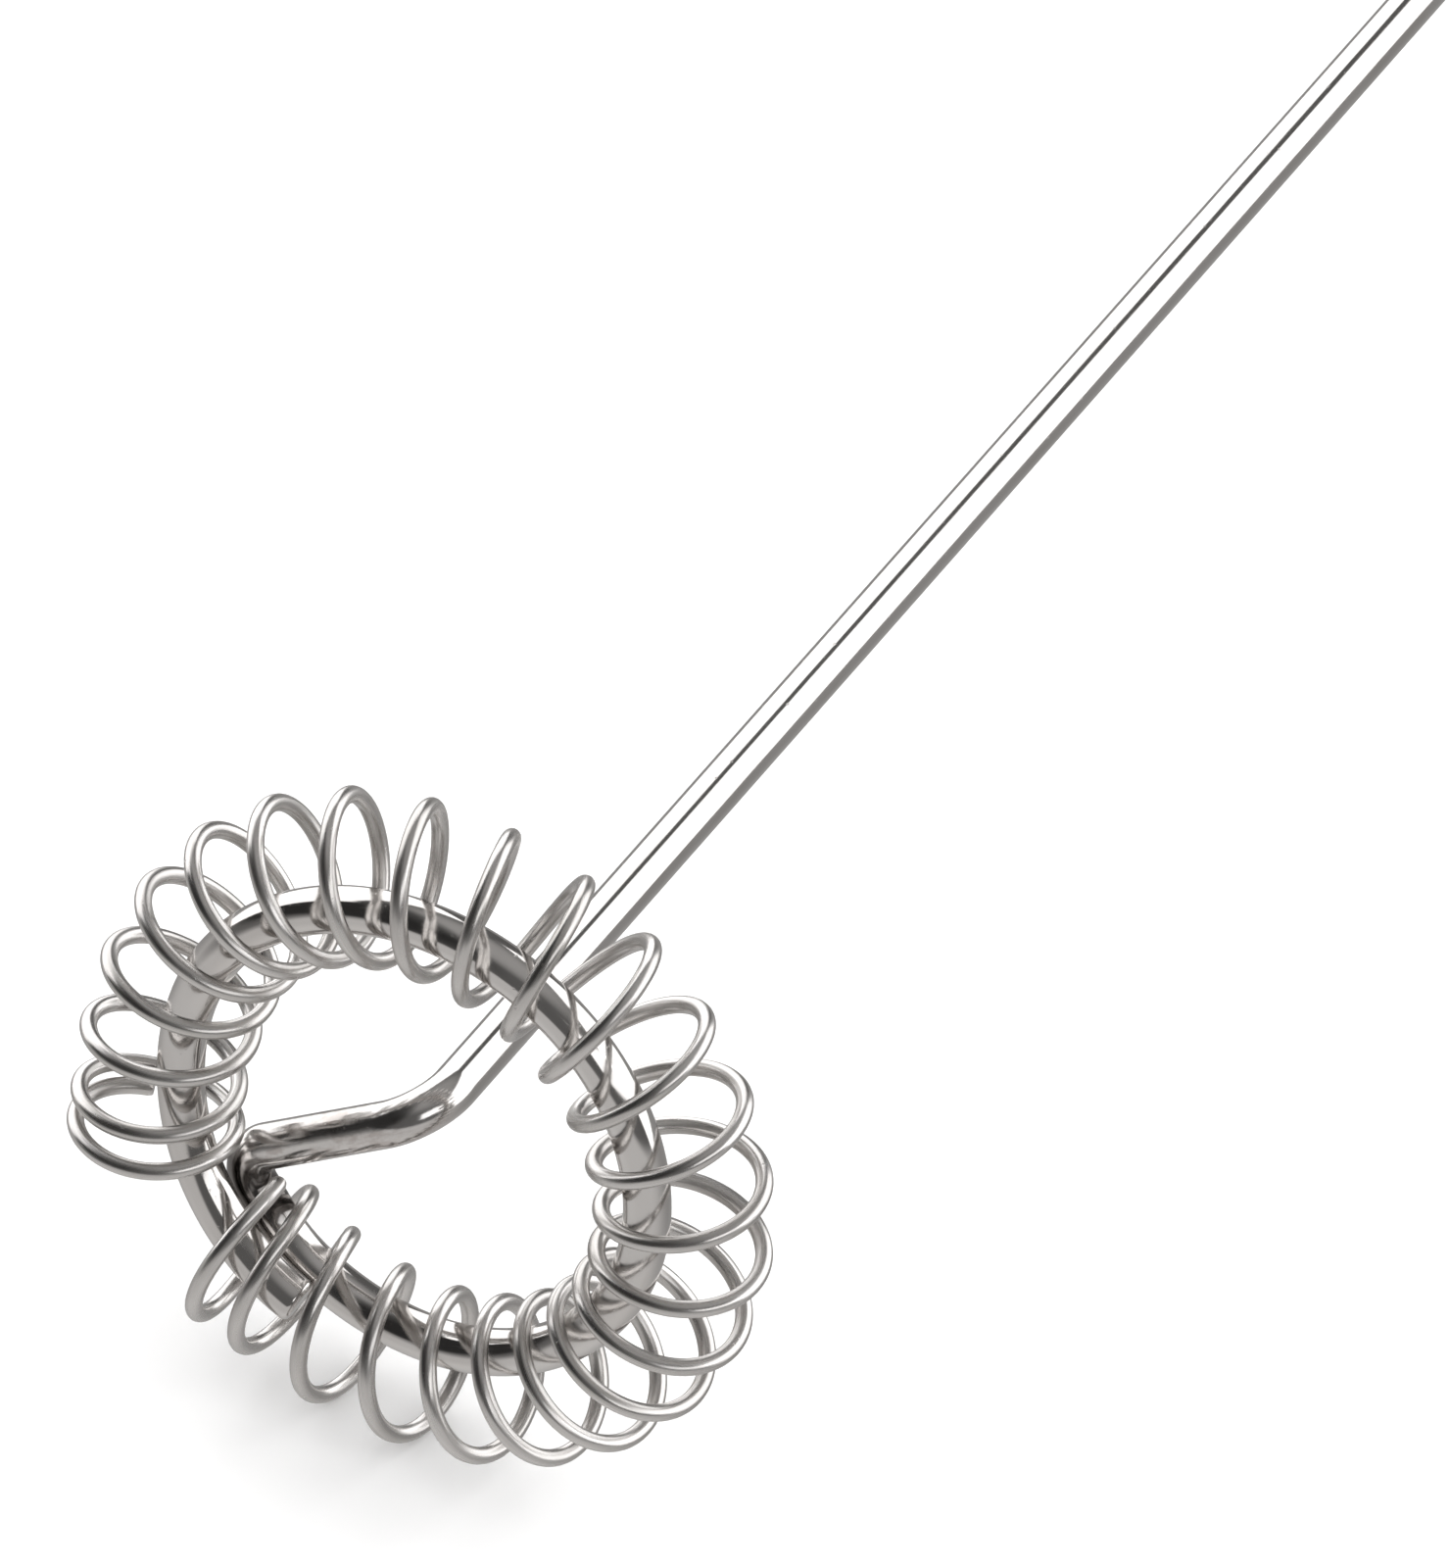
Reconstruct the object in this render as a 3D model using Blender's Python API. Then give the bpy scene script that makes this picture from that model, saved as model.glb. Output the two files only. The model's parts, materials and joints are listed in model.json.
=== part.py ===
"""Spring whisk for a handheld frother: one bent stainless wire and a loose coil spring.

The wire is a straight shaft that turns off its axis into a short leg, folds sharply and runs round
a loop of a little more than one turn, so that its domed tail lies beside the loop's start. The coil
spring is threaded on the loop and can creep round it until its ends meet the leg.

Loop frame: origin at the loop's centre, +Z along the shaft towards the drive end, X and Y in the
loop's plane. The whisk lies on a flat surface, on two turns of the spring and the shaft's far end.
"""

import math

import bpy
import numpy as np
from mathutils import Matrix

MM = 0.001

# Wire: diameters, lengths and heights above the loop's plane
WIRE_D = 1.5 * MM
LOOP_RADIUS = 5.395 * WIRE_D
SHAFT_LENGTH = 78.0 * WIRE_D
END_CHAMFER = 0.15 * MM
LEG_ANGLE = math.radians(-61.0)
LEG_HEIGHT = 0.60 * WIRE_D
TAIL_HEIGHT = -0.64 * WIRE_D
SHAFT_BEND_RADIUS = 1.15 * WIRE_D
KNEE_RADIUS = 0.78 * WIRE_D
LOOP_SWEEP = math.radians(395.0)
LEAD_SWEEP = math.radians(100.0)
TAIL_SWEEP = math.radians(90.0)
KNEE_PULL = 0.28 * WIRE_D
KNEE_PULL_SWEEP = math.radians(32.0)
TAIL_BEVEL = 0.15 * WIRE_D

# Spring: wire, coil size and its place around the loop
SPRING_WIRE_D = 0.37 * WIRE_D
SPRING_TURNS = 24.7
COIL_CIRCLE_RADIUS = 5.979 * WIRE_D
COIL_RADIUS = 1.7015 * WIRE_D
COIL_FLATNESS = 0.893
COIL_OFFSET = (-0.2135 * WIRE_D, 0.1877 * WIRE_D, 0.2164 * WIRE_D)
COIL_TILT = (0.287 * WIRE_D, -0.028 * WIRE_D)
COIL_SWELL = 0.051 * WIRE_D
COIL_PHASE = 3.0756

# Spring pitch: an even sweep, slow waves along its length, and ends that close up over a few turns
PITCH_BASE = 25.0
SPRING_START = -0.4631
SPRING_SWEEP = -7.7131
PITCH_WAVES = (-0.0205, -0.3547, -0.0216, -0.0843, -0.0106, -0.0187)
END_FADE_TURNS = 2.0
END_TURN_FADE = 0.7
CLOSE_FIRST, CLOSE_LAST = -0.836, 0.9602
LEAN, LEAN_FIRST, LEAN_LAST = 0.0107, -0.1438, 0.0626
SWELL_FIRST, SWELL_LAST, SWELL_START = 0.083 * WIRE_D, 0.078 * WIRE_D, 0.129 * WIRE_D
SHIFT_FIRST, SHIFT_LAST = -0.546 * WIRE_D, -1.203 * WIRE_D
SIT_TURN, SIT_TURNS = 23.4, 1.2
SIT_OUT, SIT_SWELL, SIT_DROP = 0.233 * WIRE_D, -0.059 * WIRE_D, -0.085 * WIRE_D
SIT_CLOSE, SIT_LEAN = -0.0317, 0.0298
END_OUT, END_SWELL = 0.221 * WIRE_D, -0.146 * WIRE_D

# How the whisk lies: the loop-frame direction that points up, and how far the shaft falls
UP_ANGLE = math.radians(66.1)
SHAFT_FALL = math.radians(5.27)

# Mesh resolution
WIRE_SIDES = 20
LOOP_STEP = math.radians(6.0)
BEND_STEP = math.radians(11.25)
SPRING_SIDES = 8
STEPS_PER_TURN = 18


def clear_scene():
    for obj in list(bpy.data.objects):
        bpy.data.objects.remove(obj, do_unlink=True)


def ease(value):
    """Smooth rise from 0 to 1, level at both ends."""
    value = min(max(value, 0.0), 1.0)
    return value * value * (3.0 - 2.0 * value)


def loop_point(travel):
    """Centreline of the loop, by the angle travelled from the leg."""
    angle = LEG_ANGLE - travel
    start = LEG_HEIGHT * (1.0 - ease(travel / LEAD_SWEEP))
    tail = TAIL_HEIGHT * ease((travel - LOOP_SWEEP + TAIL_SWEEP) / TAIL_SWEEP)
    radius = LOOP_RADIUS - KNEE_PULL * (1.0 - ease(travel / KNEE_PULL_SWEEP))
    return np.array((radius * math.cos(angle), radius * math.sin(angle), start + tail))


def bend(before, corner, after, radius):
    """Arc of the given radius that rounds the corner between two straight runs."""
    back = (before - corner) / np.linalg.norm(before - corner)
    ahead = (after - corner) / np.linalg.norm(after - corner)
    opening = math.acos(float(np.dot(back, ahead)))
    middle = (back + ahead) / np.linalg.norm(back + ahead)
    centre = corner + middle * radius / math.sin(opening / 2.0)
    first = corner + back * radius / math.tan(opening / 2.0) - centre
    normal = np.cross(first, corner - centre)
    normal /= np.linalg.norm(normal)
    side = np.cross(normal, first)
    turn = math.pi - opening
    steps = math.ceil(turn / BEND_STEP)
    angles = [turn * step / steps for step in range(steps + 1)]
    return [centre + first * math.cos(angle) + side * math.sin(angle) for angle in angles]


def wire_centreline():
    """Stations from the drive end to the tail's tip, and the wire's radius at each."""
    drive_end = np.array((0.0, 0.0, SHAFT_LENGTH))
    chamfer_end = drive_end - (0.0, 0.0, END_CHAMFER)
    elbow = np.array((0.0, 0.0, LEG_HEIGHT))
    knee = loop_point(0.0)
    after_knee = loop_point(1.15 * KNEE_RADIUS / LOOP_RADIUS)
    points = [drive_end, chamfer_end]
    points += bend(drive_end, elbow, knee, SHAFT_BEND_RADIUS)
    points += bend(elbow, knee, after_knee, KNEE_RADIUS)
    bevel_start = LOOP_SWEEP - TAIL_BEVEL / LOOP_RADIUS
    first = 2.2 * KNEE_RADIUS / LOOP_RADIUS
    steps = round((bevel_start - first) / LOOP_STEP)
    points += [loop_point(first + (bevel_start - first) * step / steps) for step in range(steps + 1)]
    radii = [WIRE_D / 2.0 - END_CHAMFER] + [WIRE_D / 2.0] * (len(points) - 1)
    for step in range(1, 5):
        angle = math.radians(22.5 * step)
        points.append(loop_point(bevel_start + TAIL_BEVEL / LOOP_RADIUS * math.sin(angle)))
        radii.append(WIRE_D / 2.0 - TAIL_BEVEL * (1.0 - math.cos(angle)))
    return points, radii


def spring_point(turn):
    """Centreline of the spring, by the number of turns from its end at the leg."""
    first = math.exp(-turn / END_FADE_TURNS)
    last = math.exp(-(SPRING_TURNS - turn) / END_FADE_TURNS)
    start = math.exp(-turn / END_TURN_FADE)
    finish = math.exp(-(SPRING_TURNS - turn) / END_TURN_FADE)
    sit = math.exp(-(((turn - SIT_TURN) / SIT_TURNS) ** 2))
    along = turn / PITCH_BASE
    angle = SPRING_START + SPRING_SWEEP * along + CLOSE_FIRST * first + CLOSE_LAST * last
    angle += SIT_CLOSE * sit
    for order, size in enumerate(PITCH_WAVES, start=1):
        angle += size * math.sin(order * math.pi * along)
    spin = 2.0 * math.pi * turn + COIL_PHASE
    swell = SWELL_FIRST * first + SWELL_LAST * last + SWELL_START * start
    swell += SIT_SWELL * sit + END_SWELL * finish
    radius = COIL_RADIUS + swell + COIL_SWELL * math.sin(angle)
    height = COIL_OFFSET[2] + SHIFT_FIRST * first + SHIFT_LAST * last + SIT_DROP * sit
    height += COIL_TILT[0] * math.cos(angle) + COIL_TILT[1] * math.sin(angle)
    height += COIL_FLATNESS * radius * math.sin(spin)
    lean = LEAN + LEAN_FIRST * first + LEAN_LAST * last + SIT_LEAN * sit
    angle += lean * math.cos(spin)
    reach = COIL_CIRCLE_RADIUS + SIT_OUT * sit + END_OUT * finish + radius * math.cos(spin)
    x = reach * math.cos(angle) + COIL_OFFSET[0]
    y = reach * math.sin(angle) + COIL_OFFSET[1]
    return np.array((x, y, height))


def tube(name, points, radii, sides):
    """Closed tube swept along the points, with frames that don't twist and flat caps."""
    points = np.array(points)
    tangents = np.gradient(points, axis=0)
    tangents /= np.linalg.norm(tangents, axis=1, keepdims=True)
    across = np.cross(tangents[0], (1.0, 0.0, 0.0))
    if np.linalg.norm(across) < 0.3:
        across = np.cross(tangents[0], (0.0, 1.0, 0.0))
    vertices = []
    for point, tangent, radius in zip(points, tangents, radii):
        across = across - tangent * np.dot(across, tangent)
        across /= np.linalg.norm(across)
        upward = np.cross(tangent, across)
        for side in range(sides):
            angle = 2.0 * math.pi * side / sides
            vertices.append(point + radius * (math.cos(angle) * across + math.sin(angle) * upward))
    faces = [tuple(reversed(range(sides)))]
    for station in range(len(points) - 1):
        low = station * sides
        for side in range(sides):
            after = (side + 1) % sides
            faces.append((low + side, low + after, low + sides + after, low + sides + side))
    faces.append(tuple(range((len(points) - 1) * sides, len(points) * sides)))
    mesh = bpy.data.meshes.new(name)
    mesh.from_pydata([tuple(vertex) for vertex in vertices], [], faces)
    mesh.shade_smooth()
    mesh.set_sharp_from_angle(angle=math.radians(35.0))
    return mesh


def steel(name, colour, roughness):
    material = bpy.data.materials.new(name)
    material.use_nodes = True
    shader = material.node_tree.nodes["Principled BSDF"]
    shader.inputs["Base Color"].default_value = (*colour, 1.0)
    shader.inputs["Metallic"].default_value = 1.0
    shader.inputs["Roughness"].default_value = roughness
    return material


def add_piece(name, mesh, material, parent):
    obj = bpy.data.objects.new(name, mesh)
    mesh.materials.append(material)
    bpy.context.collection.objects.link(obj)
    obj.parent = parent
    return obj


def loop_axes():
    """World directions of the loop frame's axes, as the columns of a 3 by 3 array."""
    fall = math.cos(SHAFT_FALL)
    up = np.array((fall * math.cos(UP_ANGLE), fall * math.sin(UP_ANGLE), -math.sin(SHAFT_FALL)))
    forward = np.array((0.0, 0.0, 1.0)) - up * up[2]
    forward /= np.linalg.norm(forward)
    right = np.cross(forward, up)
    return np.array((right, forward, up))


def rest_on_floor(frame, meshes):
    """Turns the loop frame to its lying pose, with the lowest point at height 0."""
    axes = loop_axes()
    corners = np.concatenate([[vertex.co for vertex in mesh.vertices] for mesh in meshes]) @ axes.T
    low, high = corners.min(axis=0), corners.max(axis=0)
    place = np.identity(4)
    place[:3, :3] = axes
    place[:3, 3] = (-(low[0] + high[0]) / 2.0, -(low[1] + high[1]) / 2.0, -low[2])
    frame.matrix_world = Matrix(place.tolist())


def build():
    clear_scene()
    loop_frame = bpy.data.objects.new("loop_frame", None)
    bpy.context.collection.objects.link(loop_frame)

    wire_mesh = tube("whisk_wire", *wire_centreline(), WIRE_SIDES)
    steps = round(SPRING_TURNS * STEPS_PER_TURN)
    turns = [SPRING_TURNS * step / steps for step in range(steps + 1)]
    coil = [spring_point(turn) for turn in turns]
    spring_mesh = tube("coil_spring", coil, [SPRING_WIRE_D / 2.0] * len(coil), SPRING_SIDES)

    polished = steel("polished_stainless", (0.74, 0.73, 0.72), 0.10)
    satin = steel("satin_stainless", (0.62, 0.61, 0.59), 0.30)
    add_piece("whisk_wire", wire_mesh, polished, loop_frame)
    add_piece("coil_spring", spring_mesh, satin, loop_frame)
    rest_on_floor(loop_frame, (wire_mesh, spring_mesh))
    bpy.context.view_layer.update()


build()
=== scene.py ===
"""Looks of the spring whisk: fine wire meshes, worked stainless steel, and a plain pale studio.

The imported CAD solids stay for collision. Two fine meshes stand for them: the whisk's polished wire
and its satin coil spring. Both follow the same laws as the CAD source, in the loop frame, whose
origin is the loop's centre and whose Z runs along the shaft towards the drive end.
"""
import json
import math

import bpy
import numpy as np
from mathutils import Matrix, Vector


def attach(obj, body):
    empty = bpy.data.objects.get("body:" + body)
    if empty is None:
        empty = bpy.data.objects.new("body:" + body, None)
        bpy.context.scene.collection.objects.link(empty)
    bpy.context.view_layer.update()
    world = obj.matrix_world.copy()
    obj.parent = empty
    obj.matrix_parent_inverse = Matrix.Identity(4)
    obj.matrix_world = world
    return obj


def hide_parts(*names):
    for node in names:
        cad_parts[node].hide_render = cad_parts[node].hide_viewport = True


MM = 0.001

# Wire, as in the CAD source
WIRE_D = 1.5 * MM
LOOP_RADIUS = 5.395 * WIRE_D
SHAFT_LENGTH = 78.0 * WIRE_D
END_CHAMFER = 0.15 * MM
LEG_ANGLE = math.radians(-61.0)
LEG_HEIGHT = 0.60 * WIRE_D
TAIL_HEIGHT = -0.64 * WIRE_D
SHAFT_BEND_RADIUS = 1.15 * WIRE_D
KNEE_RADIUS = 0.78 * WIRE_D
LOOP_SWEEP = math.radians(395.0)
LEAD_SWEEP = math.radians(100.0)
TAIL_SWEEP = math.radians(90.0)
KNEE_PULL = 0.28 * WIRE_D
KNEE_PULL_SWEEP = math.radians(32.0)
TAIL_BEVEL = 0.15 * WIRE_D
# Distances in bend radii: the shaft bend's top above the leg, the knee's aim point, the loop's start
BEND_TOP, AFTER_KNEE, LOOP_START = 1.3, 1.15, 2.2

# Spring, as in the CAD source
SPRING_WIRE_D = 0.37 * WIRE_D
SPRING_TURNS = 24.7
COIL_CIRCLE_RADIUS = 5.979 * WIRE_D
COIL_RADIUS = 1.7015 * WIRE_D
COIL_FLATNESS = 0.893
COIL_OFFSET = (-0.2135 * WIRE_D, 0.1877 * WIRE_D, 0.2164 * WIRE_D)
COIL_TILT = (0.287 * WIRE_D, -0.028 * WIRE_D)
COIL_SWELL = 0.051 * WIRE_D
COIL_PHASE = 3.0756
PITCH_BASE = 25.0
SPRING_START = -0.4631
SPRING_SWEEP = -7.7131
PITCH_WAVES = (-0.0205, -0.3547, -0.0216, -0.0843, -0.0106, -0.0187)
END_FADE_TURNS = 2.0
END_TURN_FADE = 0.7
CLOSE_FIRST, CLOSE_LAST = -0.836, 0.9602
LEAN, LEAN_FIRST, LEAN_LAST = 0.0107, -0.1438, 0.0626
SWELL_FIRST, SWELL_LAST, SWELL_START = 0.083 * WIRE_D, 0.078 * WIRE_D, 0.129 * WIRE_D
SHIFT_FIRST, SHIFT_LAST = -0.546 * WIRE_D, -1.203 * WIRE_D
# Where the closed-up turns near the last end sit out from the rest, over how many turns, and how far
SIT_TURN, SIT_TURNS = 23.4, 1.2
SIT_OUT, SIT_SWELL, SIT_DROP = 0.233 * WIRE_D, -0.059 * WIRE_D, -0.085 * WIRE_D
SIT_CLOSE, SIT_LEAN = -0.0317, 0.0298
# How far the very last turn moves out and shrinks
END_OUT, END_SWELL = 0.221 * WIRE_D, -0.146 * WIRE_D
SPRING_END_BEVEL = 0.05 * MM

# How the whisk lies
UP_ANGLE = math.radians(66.1)
SHAFT_FALL = math.radians(5.27)

# Mesh resolution
WIRE_SIDES = 96
LOOP_STEP = math.radians(1.0)
BEND_STEP = math.radians(1.0)
SPRING_SIDES = 32
STEPS_PER_TURN = 96
SHAFT_STEPS = 60
DRIVE_EDGE_STEPS = 6
TAIL_EDGE_STEPS = 9
FLOOR_SIDES = 96
FLOOR_CURVE_STEPS = 12

# Stretch of the wire that was worked by the bending tool, by length from the drive end
WORKED = (114.5 * MM, 116.5 * MM, 123.0 * MM, 125.0 * MM)
# Stretch just past the knee, on its underside, darkened with painted shade
PAINTED_SHADE_STRETCH = (122.1 * MM, 122.7 * MM, 124.4 * MM, 125.8 * MM)

# Steel of the worked stretches, and the near-black painted shade just past the knee
SCORCHED = (0.42, 0.37, 0.345, 1.0)
PAINTED_KNEE_SHADE = (0.085, 0.076, 0.072, 1.0)

# Studio: the floor's flat part, the curve up to its rim and the rim's height, in metres
FLOOR_RADIUS = 2.6
FLOOR_CURVE = 0.8
RIM_HEIGHT = 3.2
DARK_SIDE = Vector((-0.72, -0.50, 0.40))

# Camera: a long lens from the front right, well above the floor
CAMERA_TARGET = (3.830 * MM, -45.645 * MM, 19.906 * MM)
CAMERA_DISTANCE = 574.82 * MM
CAMERA_AZIMUTH = math.radians(23.328)
CAMERA_ELEVATION = math.radians(44.483)
CAMERA_ROLL = math.radians(7.048)
CAMERA_LENS = 428.98


# ---------------------------------------------------------------- shape laws

def ease(value):
    """Smooth rise from 0 to 1, level at both ends."""
    value = min(max(value, 0.0), 1.0)
    return value * value * (3.0 - 2.0 * value)


def loop_point(travel):
    """Centreline of the loop, by the angle travelled from the leg."""
    angle = LEG_ANGLE - travel
    start = LEG_HEIGHT * (1.0 - ease(travel / LEAD_SWEEP))
    tail = TAIL_HEIGHT * ease((travel - LOOP_SWEEP + TAIL_SWEEP) / TAIL_SWEEP)
    radius = LOOP_RADIUS - KNEE_PULL * (1.0 - ease(travel / KNEE_PULL_SWEEP))
    return np.array((radius * math.cos(angle), radius * math.sin(angle), start + tail))


def bend(before, corner, after, radius):
    """Arc of the given radius that rounds the corner between two straight runs."""
    back = (before - corner) / np.linalg.norm(before - corner)
    ahead = (after - corner) / np.linalg.norm(after - corner)
    opening = math.acos(float(np.dot(back, ahead)))
    middle = (back + ahead) / np.linalg.norm(back + ahead)
    centre = corner + middle * radius / math.sin(opening / 2.0)
    first = corner + back * radius / math.tan(opening / 2.0) - centre
    normal = np.cross(first, corner - centre)
    normal /= np.linalg.norm(normal)
    side = np.cross(normal, first)
    turn = math.pi - opening
    steps = math.ceil(turn / BEND_STEP)
    angles = [turn * step / steps for step in range(steps + 1)]
    return [centre + first * math.cos(angle) + side * math.sin(angle) for angle in angles]


def wire_centreline():
    """Stations from the drive end to the tail's tip, and the wire's radius at each."""
    drive_end = np.array((0.0, 0.0, SHAFT_LENGTH))
    elbow = np.array((0.0, 0.0, LEG_HEIGHT))
    knee = loop_point(0.0)
    after_knee = loop_point(AFTER_KNEE * KNEE_RADIUS / LOOP_RADIUS)
    half = WIRE_D / 2.0
    points, radii = [], []
    for step in range(DRIVE_EDGE_STEPS + 1):
        angle = math.pi / 2.0 * step / DRIVE_EDGE_STEPS
        points.append(drive_end - (0.0, 0.0, END_CHAMFER * (1.0 - math.cos(angle))))
        radii.append(half - END_CHAMFER * (1.0 - math.sin(angle)))
    for step in range(1, SHAFT_STEPS):
        points.append(drive_end * (1.0 - step / SHAFT_STEPS) + elbow * step / SHAFT_STEPS)
    bend_top = LEG_HEIGHT + BEND_TOP * SHAFT_BEND_RADIUS
    points = [point for point in points if point[2] > bend_top]
    points += bend(drive_end, elbow, knee, SHAFT_BEND_RADIUS)
    points += bend(elbow, knee, after_knee, KNEE_RADIUS)
    bevel_start = LOOP_SWEEP - TAIL_BEVEL / LOOP_RADIUS
    first = LOOP_START * KNEE_RADIUS / LOOP_RADIUS
    steps = round((bevel_start - first) / LOOP_STEP)
    points += [loop_point(first + (bevel_start - first) * step / steps) for step in range(steps + 1)]
    radii += [half] * (len(points) - len(radii))
    for step in range(1, TAIL_EDGE_STEPS + 1):
        angle = math.pi / 2.0 * step / TAIL_EDGE_STEPS
        points.append(loop_point(bevel_start + TAIL_BEVEL / LOOP_RADIUS * math.sin(angle)))
        radii.append(half - TAIL_BEVEL * (1.0 - math.cos(angle)))
    return points, radii


def spring_point(turn):
    """Centreline of the spring, by the number of turns from its end at the leg."""
    first = math.exp(-turn / END_FADE_TURNS)
    last = math.exp(-(SPRING_TURNS - turn) / END_FADE_TURNS)
    start = math.exp(-turn / END_TURN_FADE)
    finish = math.exp(-(SPRING_TURNS - turn) / END_TURN_FADE)
    sit = math.exp(-(((turn - SIT_TURN) / SIT_TURNS) ** 2))
    along = turn / PITCH_BASE
    angle = SPRING_START + SPRING_SWEEP * along + CLOSE_FIRST * first + CLOSE_LAST * last
    angle += SIT_CLOSE * sit
    for order, size in enumerate(PITCH_WAVES, start=1):
        angle += size * math.sin(order * math.pi * along)
    spin = 2.0 * math.pi * turn + COIL_PHASE
    swell = SWELL_FIRST * first + SWELL_LAST * last + SWELL_START * start
    swell += SIT_SWELL * sit + END_SWELL * finish
    radius = COIL_RADIUS + swell + COIL_SWELL * math.sin(angle)
    height = COIL_OFFSET[2] + SHIFT_FIRST * first + SHIFT_LAST * last + SIT_DROP * sit
    height += COIL_TILT[0] * math.cos(angle) + COIL_TILT[1] * math.sin(angle)
    height += COIL_FLATNESS * radius * math.sin(spin)
    lean = LEAN + LEAN_FIRST * first + LEAN_LAST * last + SIT_LEAN * sit
    angle += lean * math.cos(spin)
    reach = COIL_CIRCLE_RADIUS + SIT_OUT * sit + END_OUT * finish + radius * math.cos(spin)
    x = reach * math.cos(angle) + COIL_OFFSET[0]
    y = reach * math.sin(angle) + COIL_OFFSET[1]
    return np.array((x, y, height))


def spring_centreline():
    """Stations from the spring's first end to its last, and the wire's radius at each."""
    steps = round(SPRING_TURNS * STEPS_PER_TURN)
    points = [spring_point(SPRING_TURNS * step / steps) for step in range(steps + 1)]
    radii = [SPRING_WIRE_D / 2.0] * len(points)
    for end in (0, -1):
        radii[end] -= SPRING_END_BEVEL
    return points, radii


# ---------------------------------------------------------------- meshes

def tube(name, points, radii, sides, place):
    """Closed tube along the points. wire_space holds each vertex's place on the straightened wire."""
    points = np.array(points)
    tangents = np.gradient(points, axis=0)
    tangents /= np.linalg.norm(tangents, axis=1, keepdims=True)
    lengths = np.concatenate(([0.0], np.cumsum(np.linalg.norm(np.diff(points, axis=0), axis=1))))
    across = np.cross(tangents[0], (1.0, 0.0, 0.0))
    if np.linalg.norm(across) < 0.3:
        across = np.cross(tangents[0], (0.0, 1.0, 0.0))
    angles = 2.0 * math.pi * np.arange(sides) / sides
    vertices, straight = [], []
    for point, tangent, radius, length in zip(points, tangents, radii, lengths):
        across = across - tangent * np.dot(across, tangent)
        across /= np.linalg.norm(across)
        upward = np.cross(tangent, across)
        for angle in angles:
            rim = math.cos(angle), math.sin(angle)
            vertices.append(point + radius * (rim[0] * across + rim[1] * upward))
            straight.append((radius * rim[0], radius * rim[1], length))
    faces = [tuple(reversed(range(sides)))]
    for station in range(len(points) - 1):
        low = station * sides
        for side in range(sides):
            after = (side + 1) % sides
            faces.append((low + side, low + after, low + sides + after, low + sides + side))
    faces.append(tuple(range((len(points) - 1) * sides, len(points) * sides)))
    vertices = np.array(vertices) @ place[:3, :3].T + place[:3, 3]
    mesh = bpy.data.meshes.new(name)
    mesh.from_pydata(vertices.tolist(), [], faces)
    mesh.shade_smooth()
    mesh.set_sharp_from_angle(angle=math.radians(40.0))
    layer = mesh.attributes.new("wire_space", "FLOAT_VECTOR", "POINT")
    layer.data.foreach_set("vector", np.array(straight, np.float32).ravel())
    return mesh


def loop_axes():
    """World directions of the loop frame's axes, as the columns of a 3 by 3 array."""
    fall = math.cos(SHAFT_FALL)
    up = np.array((fall * math.cos(UP_ANGLE), fall * math.sin(UP_ANGLE), -math.sin(SHAFT_FALL)))
    forward = np.array((0.0, 0.0, 1.0)) - up * up[2]
    forward /= np.linalg.norm(forward)
    right = np.cross(forward, up)
    return np.array((right, forward, up))


# ---------------------------------------------------------------- node helpers

class Nodes:
    """Short calls that add nodes to one tree and link them."""

    def __init__(self, tree):
        self.tree = tree

    def add(self, kind, inputs=(), **settings):
        node = self.tree.nodes.new(kind)
        for key, value in settings.items():
            setattr(node, key, value)
        for key, value in dict(inputs).items():
            self.feed(node.inputs[key], value)
        return node

    def feed(self, socket, value):
        if isinstance(value, bpy.types.NodeSocket):
            self.tree.links.new(value, socket)
        else:
            socket.default_value = value

    def math(self, operation, *values):
        node = self.add("ShaderNodeMath", operation=operation)
        for index, value in enumerate(values):
            self.feed(node.inputs[index], value)
        return node.outputs[0]

    def ramp(self, value, low, high, to_low=0.0, to_high=1.0):
        inputs = {"Value": value, "From Min": low, "From Max": high, "To Min": to_low, "To Max": to_high}
        return self.add("ShaderNodeMapRange", inputs, interpolation_type="SMOOTHSTEP").outputs[0]

    def scaled(self, vector, scale):
        inputs = {"Vector": vector, "Scale": scale}
        return self.add("ShaderNodeMapping", inputs, vector_type="POINT").outputs[0]

    def noise(self, vector, scale, detail=3.0, roughness=0.55):
        inputs = {"Vector": vector, "Scale": scale, "Detail": detail, "Roughness": roughness}
        return self.add("ShaderNodeTexNoise", inputs).outputs["Fac"]

    def mix(self, factor, low, high):
        node = self.add("ShaderNodeMix", data_type="RGBA")
        for index, value in ((0, factor), (6, low), (7, high)):
            self.feed(node.inputs[index], value)
        return node.outputs[2]


def tool_marks_and_painted_shade(nodes, space, dent, colour, worn, height):
    """Adds what the bending tool left on the leg and the knee, dents and scorches, and a dark stretch of
    painted shade on the knee's underside.
    """
    length = nodes.add("ShaderNodeSeparateXYZ", {"Vector": space}).outputs[2]
    worked = nodes.math("MULTIPLY", nodes.ramp(length, WORKED[0], WORKED[1]),
                        nodes.ramp(length, WORKED[2], WORKED[3], 1.0, 0.0))
    dents = nodes.noise(nodes.scaled(space, (1.0, 1.0, 0.6)), 1500.0, 4.0, 0.6)
    scorch = nodes.math("MULTIPLY", worked, nodes.ramp(dents, 0.48, 0.68, 0.0, 0.55))
    colour = nodes.mix(scorch, colour, SCORCHED)
    # painted shade: the stretch just past the knee is darkened towards near-black
    painted_shade = nodes.math("MULTIPLY", nodes.ramp(length, PAINTED_SHADE_STRETCH[0], PAINTED_SHADE_STRETCH[1]),
                      nodes.ramp(length, PAINTED_SHADE_STRETCH[2], PAINTED_SHADE_STRETCH[3], 0.85, 0.0))
    colour = nodes.mix(painted_shade, colour, PAINTED_KNEE_SHADE)
    worn = nodes.math("MULTIPLY_ADD", worked, 0.05, worn)
    height = nodes.math("MULTIPLY_ADD", nodes.math("MULTIPLY", worked, dents), dent, height)
    return colour, worn, height


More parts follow.
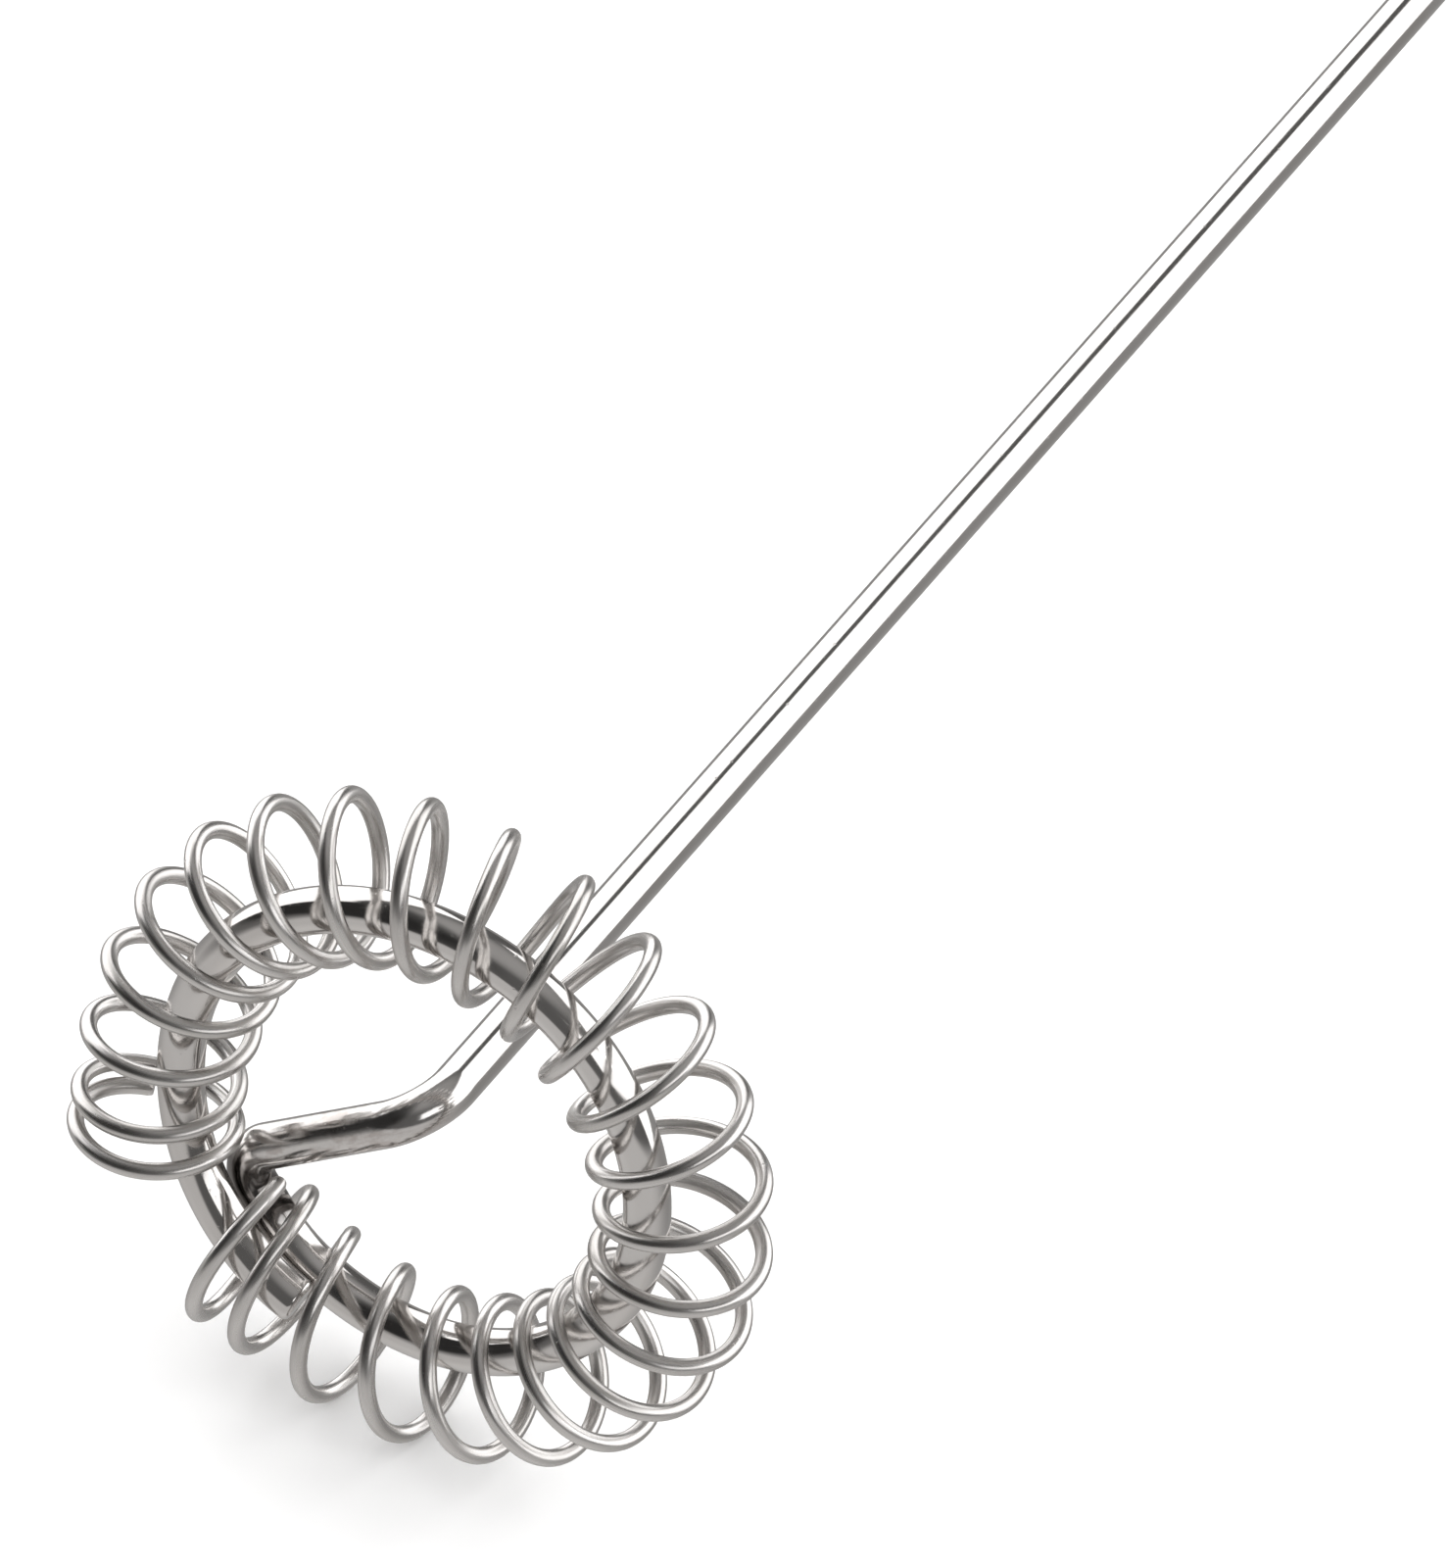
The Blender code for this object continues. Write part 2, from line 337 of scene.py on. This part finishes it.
def steel(name, light, dark, rough, streak, wave, pits, dent):
    """Drawn stainless steel: fine lines along the wire, slow waviness, small marks and stains.

    light and dark are its two tones and rough is its range of roughness. The last four are the
    heights in metres of the drawing lines, the waves, the small marks and the bending tool's dents.
    """
    material = bpy.data.materials.new(name)
    material.use_nodes = True
    tree = material.node_tree
    shader = tree.nodes["Principled BSDF"]
    nodes = Nodes(tree)
    space = nodes.add("ShaderNodeAttribute", attribute_name="wire_space").outputs["Vector"]
    lines = nodes.noise(nodes.scaled(space, (1.0, 1.0, 0.02)), 9000.0, 4.0, 0.6)
    broad = nodes.noise(nodes.scaled(space, (1.0, 1.0, 0.25)), 900.0, 3.0, 0.5)
    specks = nodes.noise(space, 5200.0, 2.0, 0.5)
    marks = nodes.ramp(specks, 0.68, 0.78)
    stain = nodes.ramp(broad, 0.35, 0.75)
    colour = nodes.mix(stain, (*light, 1.0), (*dark, 1.0))
    worn = nodes.math("MULTIPLY_ADD", marks, 0.12, nodes.ramp(lines, 0.3, 0.7, rough[0], rough[1]))
    height = nodes.math("MULTIPLY", lines, streak)
    height = nodes.math("MULTIPLY_ADD", broad, wave, height)
    height = nodes.math("MULTIPLY_ADD", marks, -pits, height)
    if dent:
        colour, worn, height = tool_marks_and_painted_shade(nodes, space, dent, colour, worn, height)
    nodes.feed(shader.inputs["Base Color"], colour)
    shader.inputs["Metallic"].default_value = 1.0
    nodes.feed(shader.inputs["Roughness"], worn)
    bump = nodes.add("ShaderNodeBump", {"Height": height, "Strength": 1.0, "Distance": 1.0})
    nodes.feed(shader.inputs["Normal"], bump.outputs[0])
    return material


def piece(name, mesh, material, node, body):
    """Adds a mesh that stands for a CAD node, rides on its body and takes the slot's finish."""
    obj = bpy.data.objects.new(name, mesh)
    mesh.materials.append(material)
    bpy.context.scene.collection.objects.link(obj)
    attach(obj, body)
    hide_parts(node)


# ---------------------------------------------------------------- studio

def studio_floor():
    """Wide pale floor whose rim turns up into a backdrop all round. The steel doesn't mirror it."""
    profile = [(0.0, 0.0), (FLOOR_RADIUS, 0.0)]
    for step in range(1, FLOOR_CURVE_STEPS + 1):
        angle = math.pi / 2.0 * step / FLOOR_CURVE_STEPS
        rise = FLOOR_CURVE * (1.0 - math.cos(angle))
        profile.append((FLOOR_RADIUS + FLOOR_CURVE * math.sin(angle), rise))
    profile.append((FLOOR_RADIUS + FLOOR_CURVE, RIM_HEIGHT))
    sides = FLOOR_SIDES
    vertices = [(0.0, 0.0, 0.0)]
    for radius, height in profile[1:]:
        for side in range(sides):
            angle = 2.0 * math.pi * side / sides
            vertices.append((radius * math.cos(angle), radius * math.sin(angle), height))
    faces = [(0, 1 + side, 1 + (side + 1) % sides) for side in range(sides)]
    for ring in range(len(profile) - 2):
        low = 1 + ring * sides
        for side in range(sides):
            after = (side + 1) % sides
            faces.append((low + side, low + sides + side, low + sides + after, low + after))
    mesh = bpy.data.meshes.new("studio_floor")
    mesh.from_pydata(vertices, [], faces)
    mesh.shade_smooth()
    material = bpy.data.materials.new("pale_floor")
    material.use_nodes = True
    shader = material.node_tree.nodes["Principled BSDF"]
    shader.inputs["Base Color"].default_value = (0.93, 0.93, 0.93, 1.0)
    shader.inputs["Roughness"].default_value = 0.9
    shader.inputs["Specular IOR Level"].default_value = 0.0
    mesh.materials.append(material)
    floor = bpy.data.objects.new("studio_floor", mesh)
    bpy.context.scene.collection.objects.link(floor)
    floor.visible_glossy = False
    floor.visible_shadow = False


def softbox(name, azimuth, elevation, distance, width, height, radiance, glossy=True):
    """Rectangular soft light that faces the whisk and isn't seen itself.

    Angles are in degrees, the azimuth from +Y towards +X, and lengths are in metres. Only a glossy
    light shows as a reflection in the steel.
    """
    turn, rise = math.radians(azimuth), math.radians(elevation)
    towards = Vector((math.sin(turn) * math.cos(rise), math.cos(turn) * math.cos(rise), math.sin(rise)))
    data = bpy.data.lights.new(name, "AREA")
    data.shape = "RECTANGLE"
    data.size, data.size_y = width, height
    data.energy = radiance * math.pi * width * height
    light = bpy.data.objects.new(name, data)
    bpy.context.scene.collection.objects.link(light)
    light.location = Vector(CAMERA_TARGET) + towards * distance
    light.rotation_euler = towards.to_track_quat("Z", "Y").to_euler()
    light.visible_camera = False
    light.visible_glossy = glossy


def studio_world():
    """Soft grey surroundings with a paler ground at the camera's side and a dark left side."""
    world = bpy.data.worlds.new("studio")
    bpy.context.scene.world = world
    world.use_nodes = True
    tree = world.node_tree
    nodes = Nodes(tree)
    direction = nodes.add("ShaderNodeTexCoord").outputs["Generated"]
    parts = nodes.add("ShaderNodeSeparateXYZ", {"Vector": direction}).outputs
    away, height = parts[1], parts[2]
    ground = nodes.ramp(away, -0.6, 0.7, 0.60, 0.31)
    ground = nodes.math("ADD", ground, nodes.ramp(height, -1.0, -0.5, 0.12, 0.0))
    sky = nodes.ramp(height, 0.60, 1.0, 0.12, 0.38)
    above = nodes.ramp(height, -0.12, 0.02)
    level = nodes.math("ADD", nodes.math("MULTIPLY", ground, nodes.math("SUBTRACT", 1.0, above)),
                       nodes.math("MULTIPLY", sky, above))
    aim = nodes.add("ShaderNodeVectorMath", operation="DOT_PRODUCT")
    nodes.feed(aim.inputs[0], direction)
    aim.inputs[1].default_value = DARK_SIDE.normalized()
    dark = nodes.ramp(aim.outputs["Value"], 0.60, 0.85, 1.0, 0.25)
    level = nodes.math("MULTIPLY", level, dark)
    background = tree.nodes["Background"]
    nodes.feed(background.inputs["Strength"], level)
    background.inputs["Color"].default_value = (1.0, 0.985, 0.97, 1.0)


def camera():
    """Camera aimed at CAMERA_TARGET, turned about its own axis by CAMERA_ROLL."""
    data = bpy.data.cameras.new("camera")
    data.lens = CAMERA_LENS
    data.sensor_width = 36.0
    data.clip_start, data.clip_end = 0.05, 10.0
    obj = bpy.data.objects.new("camera", data)
    bpy.context.scene.collection.objects.link(obj)
    level = math.cos(CAMERA_ELEVATION)
    back = Vector((math.sin(CAMERA_AZIMUTH) * level, -math.cos(CAMERA_AZIMUTH) * level,
                   math.sin(CAMERA_ELEVATION)))
    across = Vector((math.cos(CAMERA_AZIMUTH), math.sin(CAMERA_AZIMUTH), 0.0))
    over = back.cross(across)
    right = across * math.cos(CAMERA_ROLL) + over * math.sin(CAMERA_ROLL)
    up = back.cross(right)
    turn = Matrix((right, up, back)).transposed().to_4x4()
    turn.translation = Vector(CAMERA_TARGET) + back * CAMERA_DISTANCE
    obj.matrix_world = turn
    bpy.context.scene.camera = obj


# ---------------------------------------------------------------- build

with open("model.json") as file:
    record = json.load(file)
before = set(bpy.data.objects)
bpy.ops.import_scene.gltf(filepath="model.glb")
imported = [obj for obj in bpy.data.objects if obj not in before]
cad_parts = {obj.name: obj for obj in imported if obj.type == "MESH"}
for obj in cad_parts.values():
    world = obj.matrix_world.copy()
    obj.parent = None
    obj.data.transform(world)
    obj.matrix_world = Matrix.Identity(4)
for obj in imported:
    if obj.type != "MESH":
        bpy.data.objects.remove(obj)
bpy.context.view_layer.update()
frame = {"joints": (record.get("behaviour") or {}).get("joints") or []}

joint = frame["joints"][0]
place = np.identity(4)
place[:3, :3] = loop_axes()
place[:3, 3] = joint["pos_m"]

polished = steel("polished_stainless", light=(0.70, 0.68, 0.665), dark=(0.64, 0.615, 0.595),
                 rough=(0.09, 0.14), streak=0.25e-6, wave=2.5e-6, pits=2.0e-6, dent=12.0e-6)
satin = steel("satin_stainless", light=(0.70, 0.68, 0.665), dark=(0.58, 0.56, 0.54),
              rough=(0.22, 0.34), streak=2.2e-6, wave=2.0e-6, pits=4.0e-6, dent=0.0)

points, radii = wire_centreline()
piece("polished_wire", tube("polished_wire", points, radii, WIRE_SIDES, place), polished,
      "whisk_wire", "wire")
points, radii = spring_centreline()
piece("satin_spring", tube("satin_spring", points, radii, SPRING_SIDES, place), satin,
      "coil_spring", "spring")

studio_floor()
studio_world()
softbox("softbox_right", azimuth=50.0, elevation=23.0, distance=1.3,
        width=2.1, height=1.45, radiance=1.7)
softbox("softbox_far_right", azimuth=115.0, elevation=27.0, distance=1.3,
        width=1.3, height=0.50, radiance=1.5)
softbox("softbox_left", azimuth=-61.0, elevation=18.0, distance=1.3,
        width=2.1, height=1.45, radiance=1.7)
softbox("overhead", azimuth=0.0, elevation=88.0, distance=2.4,
        width=5.0, height=5.0, radiance=0.85, glossy=False)
camera()
bpy.context.scene.view_settings.view_transform = "Standard"
